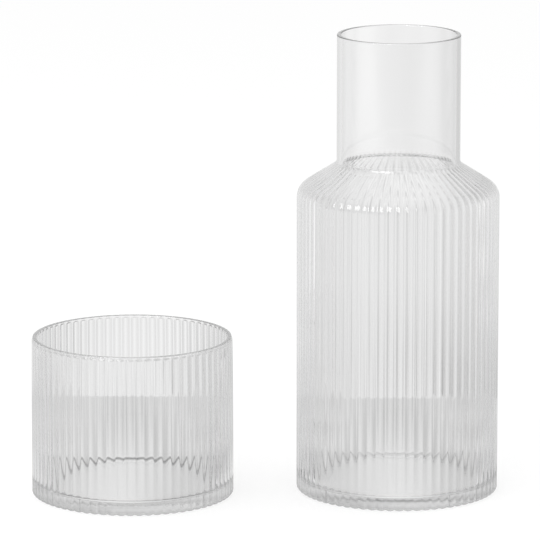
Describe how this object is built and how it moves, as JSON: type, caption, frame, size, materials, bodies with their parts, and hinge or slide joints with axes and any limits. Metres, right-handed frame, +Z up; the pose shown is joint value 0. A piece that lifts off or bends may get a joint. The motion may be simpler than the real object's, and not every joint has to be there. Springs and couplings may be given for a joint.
{
  "type": "bedside carafe with tumbler",
  "caption": "Clear ribbed glass carafe with a plain straight neck, and a wide ribbed tumbler beside it that caps the neck when turned over.",
  "frame": {"origin": "centre of the carafe's foot, on the surface that both glasses stand on", "axes": "+Z up along the carafe's neck; +X from the tumbler towards the carafe, as seen from the front; -Y towards the viewer"},
  "size_m": [0.2013, 0.0949, 0.199],
  "materials": {
    "carafe_glass": "clear, fire-polished, ribbed outside and smooth inside",
    "tumbler_glass": "clear, fire-polished, ribbed outside and smooth inside"
  },
  "bodies": {
    "carafe": {"carafe": "carafe_glass"},
    "tumbler": {"tumbler": "tumbler_glass"}
  },
  "joints": [
    {"name": "tumbler_lift", "type": "slide", "parent": "carafe", "child": "tumbler", "axis": [0, 0, 1], "range_m": [0, 0.21]}
  ]
}
